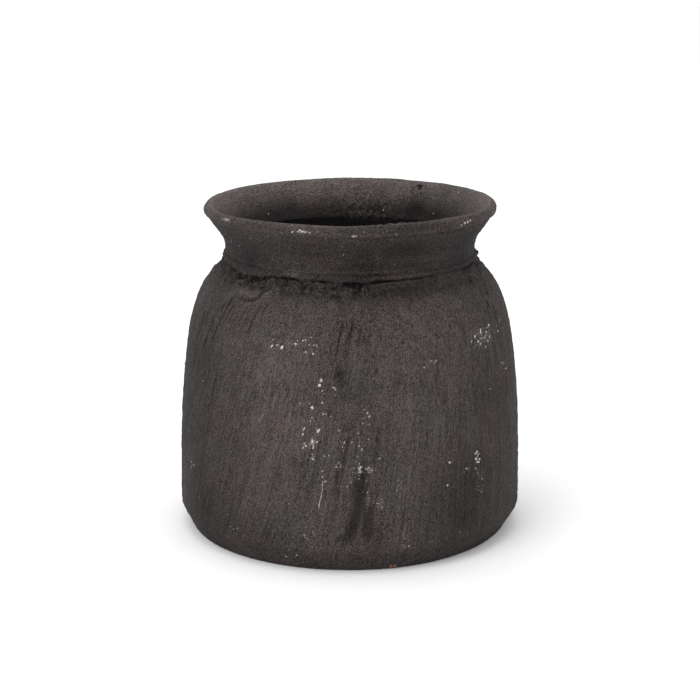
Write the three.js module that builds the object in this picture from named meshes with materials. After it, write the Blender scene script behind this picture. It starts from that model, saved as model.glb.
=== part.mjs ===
// Black clay storage pot: a round, straight-sided jar with a bevelled foot, a closed-in
// shoulder and a short flared collar with a rounded lip.
//
// The jar is hand-built, so it is modelled as the pieces of clay that the potter joins:
// a floor slab, two courses of wall, a collar and a lip coil, with the soft coils of clay
// that are worked into the corners between them. Neighbouring pieces share the same joint
// faces, so they touch all round and nowhere overlap.
//
// Units are millimetres, +Z is up, and the origin is the middle of the underside.

import * as THREE from 'three';

// Overall size
const HEIGHT = 191.4;
const BODY_RADIUS = 100;
const RIM_RADIUS = 84.2;

// Foot: a flat underside with a rounded edge, and a knife-cut bevel up to a crisp crease
const FOOT_RADIUS = 93.6;
const FOOT_EDGE_ROUND = 2.5;
const CREASE_HEIGHT = 13.8;
const FLOOR_THICKNESS = 9;

// Wall: one long outline from the crease to the mouth of the shoulder. It rises straight up
// from the crease, leans in very slightly, then turns over quickly into the shoulder.
const WALL_THICKNESS = 7;
const WALL_RISE_HEIGHT = 144.5;
const SHOULDER_TURN_RADIUS = 84.6;
const SHOULDER_TURN_HEIGHT = 143.8;
const MOUTH_RADIUS = 73.6;
const MOUTH_HEIGHT = 157.2;

// The two wall courses meet in a scarf joint that is higher inside than outside.
// Both ends of the joint are given as shares of the way along the wall outline.
const SCARF_OUTSIDE = 0.26;
const SCARF_INSIDE = 0.3;

// Collar: a concave sweep out of the neck, then a straight flare up to the lip
const NECK_RADIUS = 72.1;
const NECK_HEIGHT = 165;
const SWEEP_RADIUS = 18;
const FLARE_ANGLE = THREE.MathUtils.degToRad(36);
const COLLAR_FOOT_OUTER = 71;
const COLLAR_FOOT_INNER = 66.6;
const THROAT_RADIUS = 66;
const THROAT_HEIGHT = 170;
const COLLAR_THICKNESS = 6.3;

// Lip: a round coil that stands slightly proud of the collar that it sits on
const LIP_RADIUS = 3.3;
const LIP_SEAT_DROP = 1.6;

// Luting coils worked into the corners
const NECK_COIL_TOP = 163;
const NECK_COIL_PROUD = 0.9;
const THROAT_COIL_TOP = 163.4;
const THROAT_COIL_PROUD = 1.3;
const FLOOR_COIL_RADIUS = CREASE_HEIGHT - FLOOR_THICKNESS;

// Facets round the axis, shared by every piece so that the joint faces match
const SIDES = 64;

const point = (radius, height) => new THREE.Vector2(radius, height);

// A wall outline point: `along` runs from 0 at the crease to 1 at the mouth, and `depth` is
// how far under the outside surface it lies.
const wallOutline = new THREE.CubicBezierCurve(
  point(BODY_RADIUS, CREASE_HEIGHT),
  point(BODY_RADIUS, WALL_RISE_HEIGHT),
  point(SHOULDER_TURN_RADIUS, SHOULDER_TURN_HEIGHT),
  point(MOUTH_RADIUS, MOUTH_HEIGHT),
);

function wallPoint(along, depth) {
  const outside = wallOutline.getPoint(along);
  const tangent = wallOutline.getTangent(along);
  return point(outside.x - tangent.y * depth, outside.y + tangent.x * depth);
}

function wallCurve(from, to, depth, steps) {
  const share = (i) => THREE.MathUtils.lerp(from, to, i / steps);
  return Array.from({ length: steps + 1 }, (_, i) => wallPoint(share(i), depth));
}

// Points along a circle in the radius-height plane, with angles measured from straight out
function arc(centre, radius, startAngle, endAngle, steps) {
  const curve = new THREE.EllipseCurve(
    centre.x, centre.y, radius, radius, startAngle, endAngle, endAngle < startAngle,
  );
  return curve.getPoints(steps);
}

// A curve from one point to another that swells sideways through a middle control point
function swell(start, control, end, steps) {
  return new THREE.QuadraticBezierCurve(start, control, end).getPoints(steps);
}

// Spins a closed outline, listed counter-clockwise with radius to the right and height up,
// into a named ring or disc standing on +Z.
function turned(name, outline, material) {
  const onAxis = outline[0].x === 0;
  const profile = onAxis ? outline : [...outline, outline[0]];
  const geometry = new THREE.LatheGeometry(profile, SIDES);
  geometry.rotateX(Math.PI / 2);
  const mesh = new THREE.Mesh(geometry, material);
  mesh.name = name;
  return mesh;
}

// Clay finishes: the brushed dark coat of floor and walls, the wiped coat of collar and lip,
// and the bare, coarser clay of the luting coils
const clay = (color, roughness) => new THREE.MeshStandardMaterial({
  color, roughness, metalness: 0,
});
const coatedClay = () => clay(0x443e3c, 0.85);
const collarClay = () => clay(0x3a3534, 0.8);
const lutingClay = () => clay(0x292423, 0.95);

// Floor slab: a flat disc whose edge carries the lower part of the bevel
const bevelRunOut = (BODY_RADIUS - FOOT_RADIUS) / CREASE_HEIGHT;
const slabTopRadius = FOOT_RADIUS + bevelRunOut * FLOOR_THICKNESS;

function baseSlab() {
  const bevelAngle = Math.atan(bevelRunOut);
  // The edge round is tangent to the flat underside and to the bevel
  const cornerSetback = FOOT_EDGE_ROUND * Math.tan((Math.PI / 2 - bevelAngle) / 2);
  const centre = point(FOOT_RADIUS - cornerSetback, FOOT_EDGE_ROUND);
  return turned('base_slab', [
    point(0, 0),
    ...arc(centre, FOOT_EDGE_ROUND, -Math.PI / 2, -bevelAngle, 4),
    point(slabTopRadius, FLOOR_THICKNESS),
    point(0, FLOOR_THICKNESS),
  ], coatedClay());
}

// Lower wall: stands on the slab's edge, carries the bevel on to the crease, then rises
const wallInnerRadius = BODY_RADIUS - WALL_THICKNESS;

function lowerWall() {
  return turned('lower_wall', [
    point(wallInnerRadius, FLOOR_THICKNESS),
    point(slabTopRadius, FLOOR_THICKNESS),
    ...wallCurve(0, SCARF_OUTSIDE, 0, 3),
    ...wallCurve(SCARF_INSIDE, 0, WALL_THICKNESS, 3),
  ], coatedClay());
}

// Shoulder: the second course, turned in to the mouth, where it is cut off level
const mouthInner = point(COLLAR_FOOT_INNER, MOUTH_HEIGHT);

function shoulderWall() {
  return turned('shoulder_wall', [
    ...wallCurve(SCARF_OUTSIDE, 1, 0, 10),
    mouthInner,
    ...wallCurve(1, SCARF_INSIDE, WALL_THICKNESS, 8),
  ], coatedClay());
}

// Lip seat: the flat end of the collar, square to the flare, on which the lip coil sits
const flare = point(Math.sin(FLARE_ANGLE), Math.cos(FLARE_ANGLE));
const outward = point(flare.y, -flare.x);
const lipCentre = point(RIM_RADIUS - LIP_RADIUS, HEIGHT - LIP_RADIUS);
const seatHalfWidth = Math.sqrt(LIP_RADIUS ** 2 - LIP_SEAT_DROP ** 2);
const seatMiddle = lipCentre.clone().addScaledVector(flare, -LIP_SEAT_DROP);
const seatOuter = seatMiddle.clone().addScaledVector(outward, seatHalfWidth);
const seatInner = seatMiddle.clone().addScaledVector(outward, -seatHalfWidth);

// Collar: stands on the level mouth of the shoulder. Its foot is cut back outside for the
// neck coil, and inside it narrows upwards to the throat and opens from there to the lip.
const collarFootOuter = point(COLLAR_FOOT_OUTER, MOUTH_HEIGHT);
const neckCoilTop = point(NECK_RADIUS, NECK_COIL_TOP);
const throat = point(THROAT_RADIUS, THROAT_HEIGHT);

function neckCollar() {
  const sweepCentre = point(NECK_RADIUS + SWEEP_RADIUS, NECK_HEIGHT);
  const sweep = arc(sweepCentre, SWEEP_RADIUS, Math.PI, Math.PI - FLARE_ANGLE, 6);
  const insideOfSweepEnd = sweep.at(-1).clone().addScaledVector(outward, -COLLAR_THICKNESS);
  return turned('neck_collar', [
    mouthInner,
    collarFootOuter,
    neckCoilTop,
    ...sweep,
    seatOuter,
    ...swell(seatInner, insideOfSweepEnd, throat, 6),
  ], collarClay());
}

// Lip coil: a full round cut flat where it sits on the collar
function rimCoil() {
  const seatAngle = Math.asin(LIP_SEAT_DROP / LIP_RADIUS);
  const outerAngle = -FLARE_ANGLE - seatAngle;
  const innerAngle = Math.PI - FLARE_ANGLE + seatAngle;
  const outline = arc(lipCentre, LIP_RADIUS, outerAngle, innerAngle, 10);
  return turned('rim_coil', outline, collarClay());
}

// Neck coil outside: fills the corner between the collar's foot and the shoulder
function neckSeamOuter() {
  const mouthOuter = point(MOUTH_RADIUS, MOUTH_HEIGHT);
  const halfway = (MOUTH_HEIGHT + NECK_COIL_TOP) / 2;
  const bulge = point(MOUTH_RADIUS + NECK_COIL_PROUD, halfway);
  return turned('neck_seam_outer', [
    collarFootOuter,
    ...swell(mouthOuter, bulge, neckCoilTop, 4),
  ], lutingClay());
}

// Throat coil inside: a low band smeared over the joint between shoulder and collar
function neckSeamInner() {
  const onCollar = throat.clone().lerp(
    mouthInner, (THROAT_HEIGHT - THROAT_COIL_TOP) / (THROAT_HEIGHT - MOUTH_HEIGHT),
  );
  const wallEnd = wallPoint(1, WALL_THICKNESS);
  const crown = point(COLLAR_FOOT_INNER - 2 * THROAT_COIL_PROUD, MOUTH_HEIGHT);
  return turned('neck_seam_inner', [
    ...swell(onCollar, crown, wallEnd, 4),
    mouthInner,
  ], lutingClay());
}

// Floor coil: a hollow fillet in the corner between the floor and the wall
function floorSeamInner() {
  const centre = point(
    wallInnerRadius - FLOOR_COIL_RADIUS, FLOOR_THICKNESS + FLOOR_COIL_RADIUS,
  );
  return turned('floor_seam_inner', [
    point(wallInnerRadius, FLOOR_THICKNESS),
    ...arc(centre, FLOOR_COIL_RADIUS, 0, -Math.PI / 2, 3),
  ], lutingClay());
}

const pot = new THREE.Group();
pot.add(
  baseSlab(),
  lowerWall(),
  shoulderWall(),
  neckCollar(),
  rimCoil(),
  neckSeamOuter(),
  neckSeamInner(),
  floorSeamInner(),
);

export default pot;
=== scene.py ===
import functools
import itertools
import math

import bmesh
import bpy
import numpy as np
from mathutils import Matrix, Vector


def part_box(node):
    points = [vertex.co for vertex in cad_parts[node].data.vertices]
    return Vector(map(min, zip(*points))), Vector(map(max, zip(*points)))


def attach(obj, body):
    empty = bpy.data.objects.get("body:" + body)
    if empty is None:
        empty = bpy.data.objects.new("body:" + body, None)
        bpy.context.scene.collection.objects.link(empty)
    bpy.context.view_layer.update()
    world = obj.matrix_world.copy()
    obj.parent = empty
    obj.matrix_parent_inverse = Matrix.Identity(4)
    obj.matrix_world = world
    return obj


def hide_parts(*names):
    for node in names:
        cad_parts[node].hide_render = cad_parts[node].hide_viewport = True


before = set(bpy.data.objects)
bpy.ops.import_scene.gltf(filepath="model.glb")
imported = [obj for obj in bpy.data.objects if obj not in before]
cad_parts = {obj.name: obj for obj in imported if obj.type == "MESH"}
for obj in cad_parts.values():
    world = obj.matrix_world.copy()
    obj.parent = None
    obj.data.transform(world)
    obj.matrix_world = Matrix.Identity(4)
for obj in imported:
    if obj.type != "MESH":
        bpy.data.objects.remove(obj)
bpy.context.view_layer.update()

# A hand-built black clay pot: the fine surface and the finishes of the eight pieces of clay.
#
# Every piece is a ring (or disc) of clay. Its section comes from one closed outline round the
# whole wall of the pot, cut where the pieces meet, and one relief function moves that outline
# in and out, so neighbouring pieces meet exactly and the surface runs on over the joints.
# Lengths are in metres and angles in radians, but tables, and the calls that say so, are in
# millimetres and degrees. Angle 0 is the side that faces the camera.

MM = 0.001
BODY = "root"

# --- Sizes, from the frame and from the pot's design ---

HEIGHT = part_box("rim_coil")[1].z
RIM_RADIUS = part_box("rim_coil")[1].x
BODY_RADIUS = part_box("lower_wall")[1].x
SLAB_TOP_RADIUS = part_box("base_slab")[1].x
FLOOR_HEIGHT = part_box("base_slab")[1].z
CREASE_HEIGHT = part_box("floor_seam_inner")[1].z
MOUTH_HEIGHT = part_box("neck_collar")[0].z
NECK_COIL_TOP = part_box("neck_seam_outer")[1].z
THROAT_COIL_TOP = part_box("neck_seam_inner")[1].z

WALL_THICKNESS = 7 * MM
FOOT_RADIUS = 93.6 * MM
FOOT_EDGE_ROUND = 2.5 * MM
WALL_CONTROLS = np.array([
    [BODY_RADIUS, CREASE_HEIGHT],
    [BODY_RADIUS, 144.5 * MM],
    [84.6 * MM, 143.8 * MM],
    [73.6 * MM, MOUTH_HEIGHT],
])
SCARF_OUTSIDE = 0.26
SCARF_INSIDE = 0.3
NECK_RADIUS = 72.1 * MM
NECK_HEIGHT = 165 * MM
SWEEP_RADIUS = 18 * MM
FLARE_ANGLE = math.radians(36)
COLLAR_FOOT = np.array([71, 157.2]) * MM
COLLAR_FOOT_INNER = np.array([66.6, 157.2]) * MM
THROAT = np.array([66, 170]) * MM
COLLAR_THICKNESS = 6.3 * MM
LIP_RADIUS = 3.3 * MM
LIP_SEAT_DROP = 1.6 * MM
LIP_CENTRE = np.array([RIM_RADIUS - LIP_RADIUS, HEIGHT - LIP_RADIUS])
NECK_COIL_PROUD = 0.9 * MM
THROAT_COIL_PROUD = 1.3 * MM
# The height of the faint step under the lip
LIP_STEP = 184.2 * MM
# How far the corner where the lip meets the collar's inside is smoothed, and how often
SEAT_EASE = 6 * MM
SEAT_PASSES = 60

# How much higher the rim stands on one side, and lower on the other, and how much higher the
# lip is in front
RIM_TILT = 0.55 * MM
LIP_RISE = 1.0 * MM

# Fineness of the meshes
COLUMNS = 800
FINE_STEP = 0.5 * MM
SKIN_STEP = 0.98 * MM
INSIDE_STEP = 3 * MM
DENSE = 200
SKIRT_SHARE = 0.84
# Points nearer than this are one point
TOUCHING = 1e-7
# Edges sharper than this are the hidden corners of the joints
SHARP_CORNER = math.radians(62)


# --- Outlines in the radius-height plane ---

def fade(value, start, end):
    """0 at start, 1 at end, smooth between; start may be the larger."""
    share = np.clip((value - start) / (end - start), 0, 1)
    return share * share * (3 - 2 * share)


def bump(value, middle, half_width):
    return np.exp(-((value - middle) / half_width) ** 2)


def fade_mm(value, start, end):
    """`fade` with its limits in millimetres."""
    return fade(value, start * MM, end * MM)


def bump_mm(value, middle, half_width):
    """`bump` with its measures in millimetres."""
    return bump(value, middle * MM, half_width * MM)


def bezier(controls, share):
    """Points and directions on a Bezier curve at each share of the way along it."""
    share = np.asarray(share)[:, None]
    points = [np.asarray(c)[None] for c in controls]
    while len(points) > 2:
        points = [a * (1 - share) + b * share for a, b in zip(points, points[1:])]
    start, end = points
    return start * (1 - share) + end * share, end - start


def wall(start, end, depth):
    """The wall outline between two shares of its length, a given depth under the surface."""
    points, along = bezier(WALL_CONTROLS, np.linspace(start, end, DENSE))
    along /= np.linalg.norm(along, axis=1)[:, None]
    return points + depth * np.column_stack([-along[:, 1], along[:, 0]])


def arc(centre, radius, start, end):
    angle = np.linspace(start, end, DENSE)
    return centre + radius * np.column_stack([np.cos(angle), np.sin(angle)])


def swell(start, control, end):
    return bezier([start, control, end], np.linspace(0, 1, DENSE))[0]


def resample(path, step):
    """The same path with points about one step apart."""
    lengths = np.append(0, np.cumsum(np.hypot(*np.diff(path, axis=0).T)))
    count = math.ceil(lengths[-1] / step) + 1
    at = np.linspace(0, lengths[-1], max(count, 3))
    return np.column_stack([np.interp(at, lengths, path[:, k]) for k in (0, 1)])


def ease(path, corner, reach, passes):
    """Rounds off the part of a path that is within reach of a corner."""
    path = path.copy()
    away = np.hypot(*(path - corner).T)[1:-1, None]
    ease_here = fade(away, reach, 0) / 2
    for _ in range(passes):
        middle = (path[:-2] + path[2:]) / 2
        path[1:-1] += (middle - path[1:-1]) * ease_here
    return path


def skin_stretches():
    """The whole skin of the clay as named stretches, from the middle of the underside, up the
    outside, over the lip and down the inside to the middle of the floor. Each stretch is the
    step between its points, then the parts of its path."""
    bevel = math.atan2(BODY_RADIUS - FOOT_RADIUS, CREASE_HEIGHT)
    setback = FOOT_EDGE_ROUND * math.tan((math.pi / 2 - bevel) / 2)
    foot = arc((FOOT_RADIUS - setback, FOOT_EDGE_ROUND), FOOT_EDGE_ROUND, -math.pi / 2, -bevel)
    slab_top = np.array([SLAB_TOP_RADIUS, FLOOR_HEIGHT])

    flare = np.array([math.sin(FLARE_ANGLE), math.cos(FLARE_ANGLE)])
    outward = np.array([flare[1], -flare[0]])
    half_seat = math.sqrt(LIP_RADIUS ** 2 - LIP_SEAT_DROP ** 2)
    seat_outer = LIP_CENTRE - flare * LIP_SEAT_DROP + outward * half_seat
    seat_inner = LIP_CENTRE - flare * LIP_SEAT_DROP - outward * half_seat
    seat_angle = math.asin(LIP_SEAT_DROP / LIP_RADIUS)
    sweep_centre = np.array([NECK_RADIUS + SWEEP_RADIUS, NECK_HEIGHT])
    sweep = arc(sweep_centre, SWEEP_RADIUS, math.pi, math.pi - FLARE_ANGLE)
    collar_inner = sweep[-1] - outward * COLLAR_THICKNESS
    lip = functools.partial(arc, LIP_CENTRE, LIP_RADIUS)

    coil_top = np.array([NECK_RADIUS, NECK_COIL_TOP])
    mouth = WALL_CONTROLS[-1]
    coil_bulge = np.array([mouth[0] + NECK_COIL_PROUD, (mouth[1] + NECK_COIL_TOP) / 2])
    drop = (THROAT[1] - THROAT_COIL_TOP) / (THROAT[1] - COLLAR_FOOT_INNER[1])
    on_collar = THROAT + (COLLAR_FOOT_INNER - THROAT) * drop
    crown = COLLAR_FOOT_INNER - np.array([2 * THROAT_COIL_PROUD, 0])
    wall_end = wall(1, 1, WALL_THICKNESS)[0]

    inner_radius = BODY_RADIUS - WALL_THICKNESS
    fillet = CREASE_HEIGHT - FLOOR_HEIGHT
    fillet_centre = (inner_radius - fillet, FLOOR_HEIGHT + fillet)
    return {
        "underside": (INSIDE_STEP, [[0, 0]], foot[:1]),
        "foot": (FINE_STEP, foot, [slab_top]),
        "lower_outside": (SKIN_STEP, [slab_top], wall(0, SCARF_OUTSIDE, 0)),
        "shoulder_outside": (SKIN_STEP, wall(SCARF_OUTSIDE, SKIRT_SHARE, 0)),
        "skirt_outside": (FINE_STEP, wall(SKIRT_SHARE, 1, 0)),
        "neck_coil": (FINE_STEP, swell(mouth, coil_bulge, coil_top)),
        "collar_outside": (FINE_STEP, [coil_top], sweep, [seat_outer]),
        "lip_outside": (FINE_STEP, lip(-FLARE_ANGLE - seat_angle, math.pi / 2)),
        "lip_inside": (FINE_STEP, lip(math.pi / 2, math.pi - FLARE_ANGLE + seat_angle)),
        "collar_inside": (FINE_STEP, swell(seat_inner, collar_inner, THROAT), [on_collar]),
        "throat_coil": (SKIN_STEP, swell(on_collar, crown, wall_end)),
        "shoulder_inside": (INSIDE_STEP, wall(1, SCARF_INSIDE, WALL_THICKNESS)),
        "lower_inside": (INSIDE_STEP, wall(SCARF_INSIDE, 0, WALL_THICKNESS)),
        "floor_coil": (SKIN_STEP, arc(fillet_centre, fillet, 0, -math.pi / 2)),
        "floor": (INSIDE_STEP, [[fillet_centre[0], FLOOR_HEIGHT], [0, FLOOR_HEIGHT]]),
    }


INSIDE_STRETCHES = (
    "lip_inside", "collar_inside", "throat_coil", "shoulder_inside", "lower_inside",
    "floor_coil", "floor",
)


class Skin:
    """The sampled skin: the points of each stretch and the outward direction at each."""

    def __init__(self):
        sampled = {
            name: resample(np.vstack(path), step)
            for name, (step, *path) in skin_stretches().items()
        }
        whole = np.vstack(list(sampled.values()))
        keep = np.append(True, np.hypot(*np.diff(whole, axis=0).T) > TOUCHING)
        path = ease(whole[keep], sampled["collar_inside"][0], SEAT_EASE, SEAT_PASSES)
        along = np.gradient(path, axis=0)
        # Two passes of a short average turn the sharp corners gently
        for _ in range(2):
            along[1:-1] = (along[:-2] + 2 * along[1:-1] + along[2:]) / 4
        along /= np.linalg.norm(along, axis=1)[:, None]
        index = np.cumsum(keep) - 1
        normals = np.column_stack([along[:, 1], -along[:, 0]])
        self.points, self.normals = {}, {}
        start = 0
        for name, points in sampled.items():
            here = index[start:start + len(points)]
            self.points[name], self.normals[name] = path[here], normals[here]
            start += len(points)

    def lookup(self, names, height):
        """Radius and outward direction at each height on the stretches named."""
        points = np.vstack([self.points[n] for n in names])
        normals = np.vstack([self.normals[n] for n in names])
        order = np.argsort(points[:, 1], kind="stable")
        heights = points[order, 1]
        radius = np.interp(height, heights, points[order, 0])
        outward = [np.interp(height, heights, normals[order, k]) for k in (0, 1)]
        return radius, outward


SKIN = Skin()
OUTSIDE_CLIMB = (
    "foot", "lower_outside", "shoulder_outside", "skirt_outside", "neck_coil",
    "collar_outside", "lip_outside",
)
INSIDE_CLIMB = ("collar_inside", "lip_inside")


def front_angle(across, height):
    """The angle at which the front of the pot is this far across at this height, both in
    millimetres."""
    radius, _ = SKIN.lookup(OUTSIDE_CLIMB, height * MM)
    return math.asin(max(-1, min(1, across * MM / radius)))


def on_clay(angle, height, side, lift):
    """The point of the outer surface (side 0) or the inner one (side 1) at each angle and
    height, lifted off it a little."""
    both = []
    for inside, stretches in ((0.0, OUTSIDE_CLIMB), (1.0, INSIDE_CLIMB)):
        radius, (out, up) = SKIN.lookup(stretches, height)
        both.append(shaped(angle, radius, height, np.full(angle.shape, inside), out, up, lift))
    return np.where(side[..., None] > 0, both[1], both[0])


def shaped(angle, radius, height, inside, out, up, lift=0.0):
    """Points of the plain outline, moved to where the hand-built surface lies."""
    rise = relief(angle, radius, height, inside) + lift
    drawn_in = (1 - inside) * foot_cut(angle, radius, height)
    tilted = RIM_TILT * np.sin(angle) * fade(height, NECK_HEIGHT, HEIGHT)
    tilted += LIP_RISE * fade(np.cos(angle), 0.3, 0.9) * fade_mm(height, 182, 189)
    standing = np.clip(height + rise * up + tilted, 0, None)
    return position(angle, radius + rise * out - drawn_in, standing)


# --- Repeatable noise ---

# Large odd numbers that scramble a cell's place and its seed
CELL_KEYS = (73856093, 19349663, 83492791)
SEED_KEY = 2654435761
MIX_KEYS = ((15, 2246822519), (13, 3266489917))


def lattice(cell, seed):
    """A repeatable number from -1 to 1 for each whole-numbered cell."""
    mixed = np.uint32(seed * SEED_KEY % 2 ** 32)
    for k, key in enumerate(CELL_KEYS):
        mixed = mixed ^ (cell[..., k] & 0xFFFFFFFF).astype(np.uint32) * np.uint32(key)
    for shift, key in MIX_KEYS:
        mixed = (mixed ^ (mixed >> shift)) * np.uint32(key)
    return (mixed ^ (mixed >> 16)).astype(float) / 2 ** 31 - 1


def noise(points, cell_size, seed):
    """Smooth noise from -1 to 1 whose bumps are about one cell across."""
    scaled = points / cell_size
    base = np.floor(scaled)
    part = scaled - base
    part = part * part * (3 - 2 * part)
    base = base.astype(np.int64)
    total = 0
    for corner in itertools.product((0, 1), repeat=3):
        weight = np.prod(np.where(corner, part, 1 - part), axis=-1)
        total = total + weight * lattice(base + np.array(corner), seed)
    return total


def rough_noise(points, cell_size, seed, octaves=3):
    """Noise with finer, weaker noise on top of it."""
    return sum(noise(points, cell_size / 2 ** k, seed + k) / 2 ** k for k in range(octaves))


def waves(points, rise, cell_size, seed, octaves=1):
    """Noise of this height and cell size, both in millimetres."""
    return rise * MM * rough_noise(points, cell_size * MM, seed, octaves)


def turn_from(angle, middle):
    """The signed angle from `middle`, between -pi and pi."""
    return (angle - middle + math.pi) % (2 * math.pi) - math.pi


# --- The surface: brush strokes, relief and painted patches, as functions of angle and height ---

# How fast a stroke turns round the pot, in radians a metre, and how much faster it does so
# for each metre above the start of the bend
STROKE_LEAN = 4.5
STROKE_BEND = 40
STROKE_BEND_START = 100 * MM
# The share of that lean on the right of the pot, and how it grows towards the left
RIGHT_LEAN = 0.12
LEFT_LEAN = 0.3
# How far strokes wander from side to side, and over what length
STROKE_WANDER = 2.5 * MM
WANDER_LENGTH = 40 * MM
# How much the marks of the bristles are drawn out: long streaks and short dashes
STREAK_SQUASH = 0.05
DASH_SQUASH = 0.38

# Noises that both the shape and the paint follow: their cells in millimetres and their seeds
SCAR_PIT_SIZE, SCAR_SEED = 1.7, 85
PIMPLE_SIZE, PIMPLE_SEED = 1.2, 81


def position(angle, radius, height):
    return np.stack([
        radius * np.sin(angle), -radius * np.cos(angle), np.broadcast_to(height, angle.shape),
    ], axis=-1)


def stroke_angle(angle, height):
    """The angle at which the brush stroke through each point meets the foot. Strokes lean
    most on the left, and lean more over the shoulder."""
    lean = LEFT_LEAN * (1 - np.sin(angle)) + RIGHT_LEAN
    rise = np.clip(height - STROKE_BEND_START, 0, None)
    return angle - lean * (STROKE_LEAN * height + STROKE_BEND * rise ** 2 / 2)


def stroke_space(angle, radius, height, squash):
    """Positions that change slowly along a brush stroke. Noise read here comes out as
    streaks (with a strong squash) or short dashes (with a weak one)."""
    aside = STROKE_WANDER * noise(position(angle, radius, height), WANDER_LENGTH, 5)
    return position(stroke_angle(angle, height) - aside / BODY_RADIUS, radius, height * squash)


def along_turn(angle, table):
    """Reads a table of (angle in degrees, value) round the pot, joined up at the back."""
    turns, values = np.array(table).T
    return np.interp(np.degrees(angle), turns, values, period=360)


# How much lighter the lip is painted than the collar round the pot: painted highlight on its top,
# less in front
LIP_PAINTED_LIGHT = [
    (-90, 0.4), (-70, 0.26), (-52, -0.06), (-38, -0.16), (-28, -0.1), (-21, 0.04), (-12, 0.02),
    (0, -0.2), (12, -0.34), (30, -0.38), (45, -0.1), (60, 0.18), (90, 0.42), (130, 0.22),
    (160, 0.24), (200, 0.42), (225, 0.44), (240, 0.34),
]

# The neck joint. The squeezed-out clay under the collar leaves a ragged, undercut groove:
# its depth and its height change round the pot, both in millimetres
GROOVE_DEPTH = [
    (-90, 0.8), (-66, 0.6), (-55, 0.7), (-49, 1.1), (-44, 1.2), (-40, 0.8), (-36, 1.2), (-28, 1.5),
    (-24, 1.5), (-19, 0.9), (-14, 1), (-10, 1.6), (-6, 0.8), (-3.5, 1.3), (-2, 2), (3.5, 2),
    (6, 1), (8, 0.8), (10, 1.4), (12, 2.1), (18, 2.1), (20, 1.2), (35, 0.9), (39, 0.5), (50, 0.5),
    (58, 0.8), (67, 1.5), (75, 0.9), (90, 0.9), (130, 1.5), (170, 0.6), (200, 1.5), (240, 0.8),
]
GROOVE_HEIGHT = [
    (-90, 159), (-66, 158.4), (-55, 156.4), (-49, 156), (-45, 157), (-41, 157.8), (-36, 159.1),
    (-25, 159.3), (-21, 158.2), (-16, 159.4), (-8, 158.8), (-1, 158), (5, 157.8), (8, 158.7),
    (18, 159.2), (50, 159.6), (60, 158.6), (90, 158.8), (150, 159.4), (200, 158.4), (240, 159),
]
# How high the groove is, in millimetres: a slit where it is crisp
GROOVE_WIDTH = [
    (-90, 1), (-55, 0.9), (-49, 1.3), (-43, 1.2), (-38, 0.8), (-30, 1), (-22, 1.3), (-12, 0.9),
    (-4, 0.9), (-2, 1.2), (3.5, 1.2), (6, 0.8), (8, 0.6), (20, 0.6), (36, 0.8), (60, 0.9),
    (67, 1.3), (75, 0.9), (90, 1), (140, 0.6), (180, 1.2), (240, 0.8),
]
# How crumbly the clay under the groove is
CRUMBLY = [
    (-90, 0.35), (-70, 0.8), (-55, 1), (-20, 0.9), (2, 1), (9, 0.5), (20, 0.3), (50, 0.22),
    (70, 0.4), (90, 0.5), (120, 0.8), (160, 0.4), (200, 0.9), (240, 0.5),
]
# How far the foot was cut in, in millimetres: the potter's knife took more off on one side
FOOT_CUT = [
    (-180, 0.6), (-120, 0.2), (-30, 0), (15, 0.2), (45, 1.6), (65, 1.8), (88, 0.9), (130, 0.8),
]

# Torn slip on the shoulder, in front mostly on the left, where pads of it lie over a groove:
# angle in degrees, then height, half sizes and rise in millimetres
# The same rise is painted lighter on the pads and darker in the groove, as painted highlight and
# shade
SLIP_EDGE = [
    (-47.5, 149.6, 2.8, 1.8, 0.7), (-43.6, 149.5, 2.6, 1.6, 0.7), (-41, 151, 1.6, 1.4, 0.5),
    (-35, 150.4, 2, 1.5, 0.8), (-33.2, 151.2, 1.5, 1.2, 0.5), (-46.6, 146.8, 1.3, 0.9, -1.1),
    (-44.5, 146.5, 1.3, 0.9, -1.2), (-42.4, 146.6, 1.3, 0.9, -1.3), (-40.6, 147, 1.2, 0.9, -1.3),
    (-39.2, 147.9, 0.9, 0.8, -1.2), (-38.3, 149.4, 0.8, 0.9, -1.1), (-37.5, 151.2, 0.9, 0.8, -0.9),
    (-35.6, 152.6, 1.4, 0.5, -0.7), (-7, 148, 4, 1.4, 0.4), (38, 150, 5, 1.6, 0.4),
    (112, 150, 5, 2, 0.7), (118, 147, 4, 0.8, -0.7), (165, 151, 6, 2, 0.5),
    (208, 149, 4, 1.6, 0.7), (213, 146.6, 4, 0.8, -0.8), (262, 150, 5, 1.8, 0.5),
]

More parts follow.
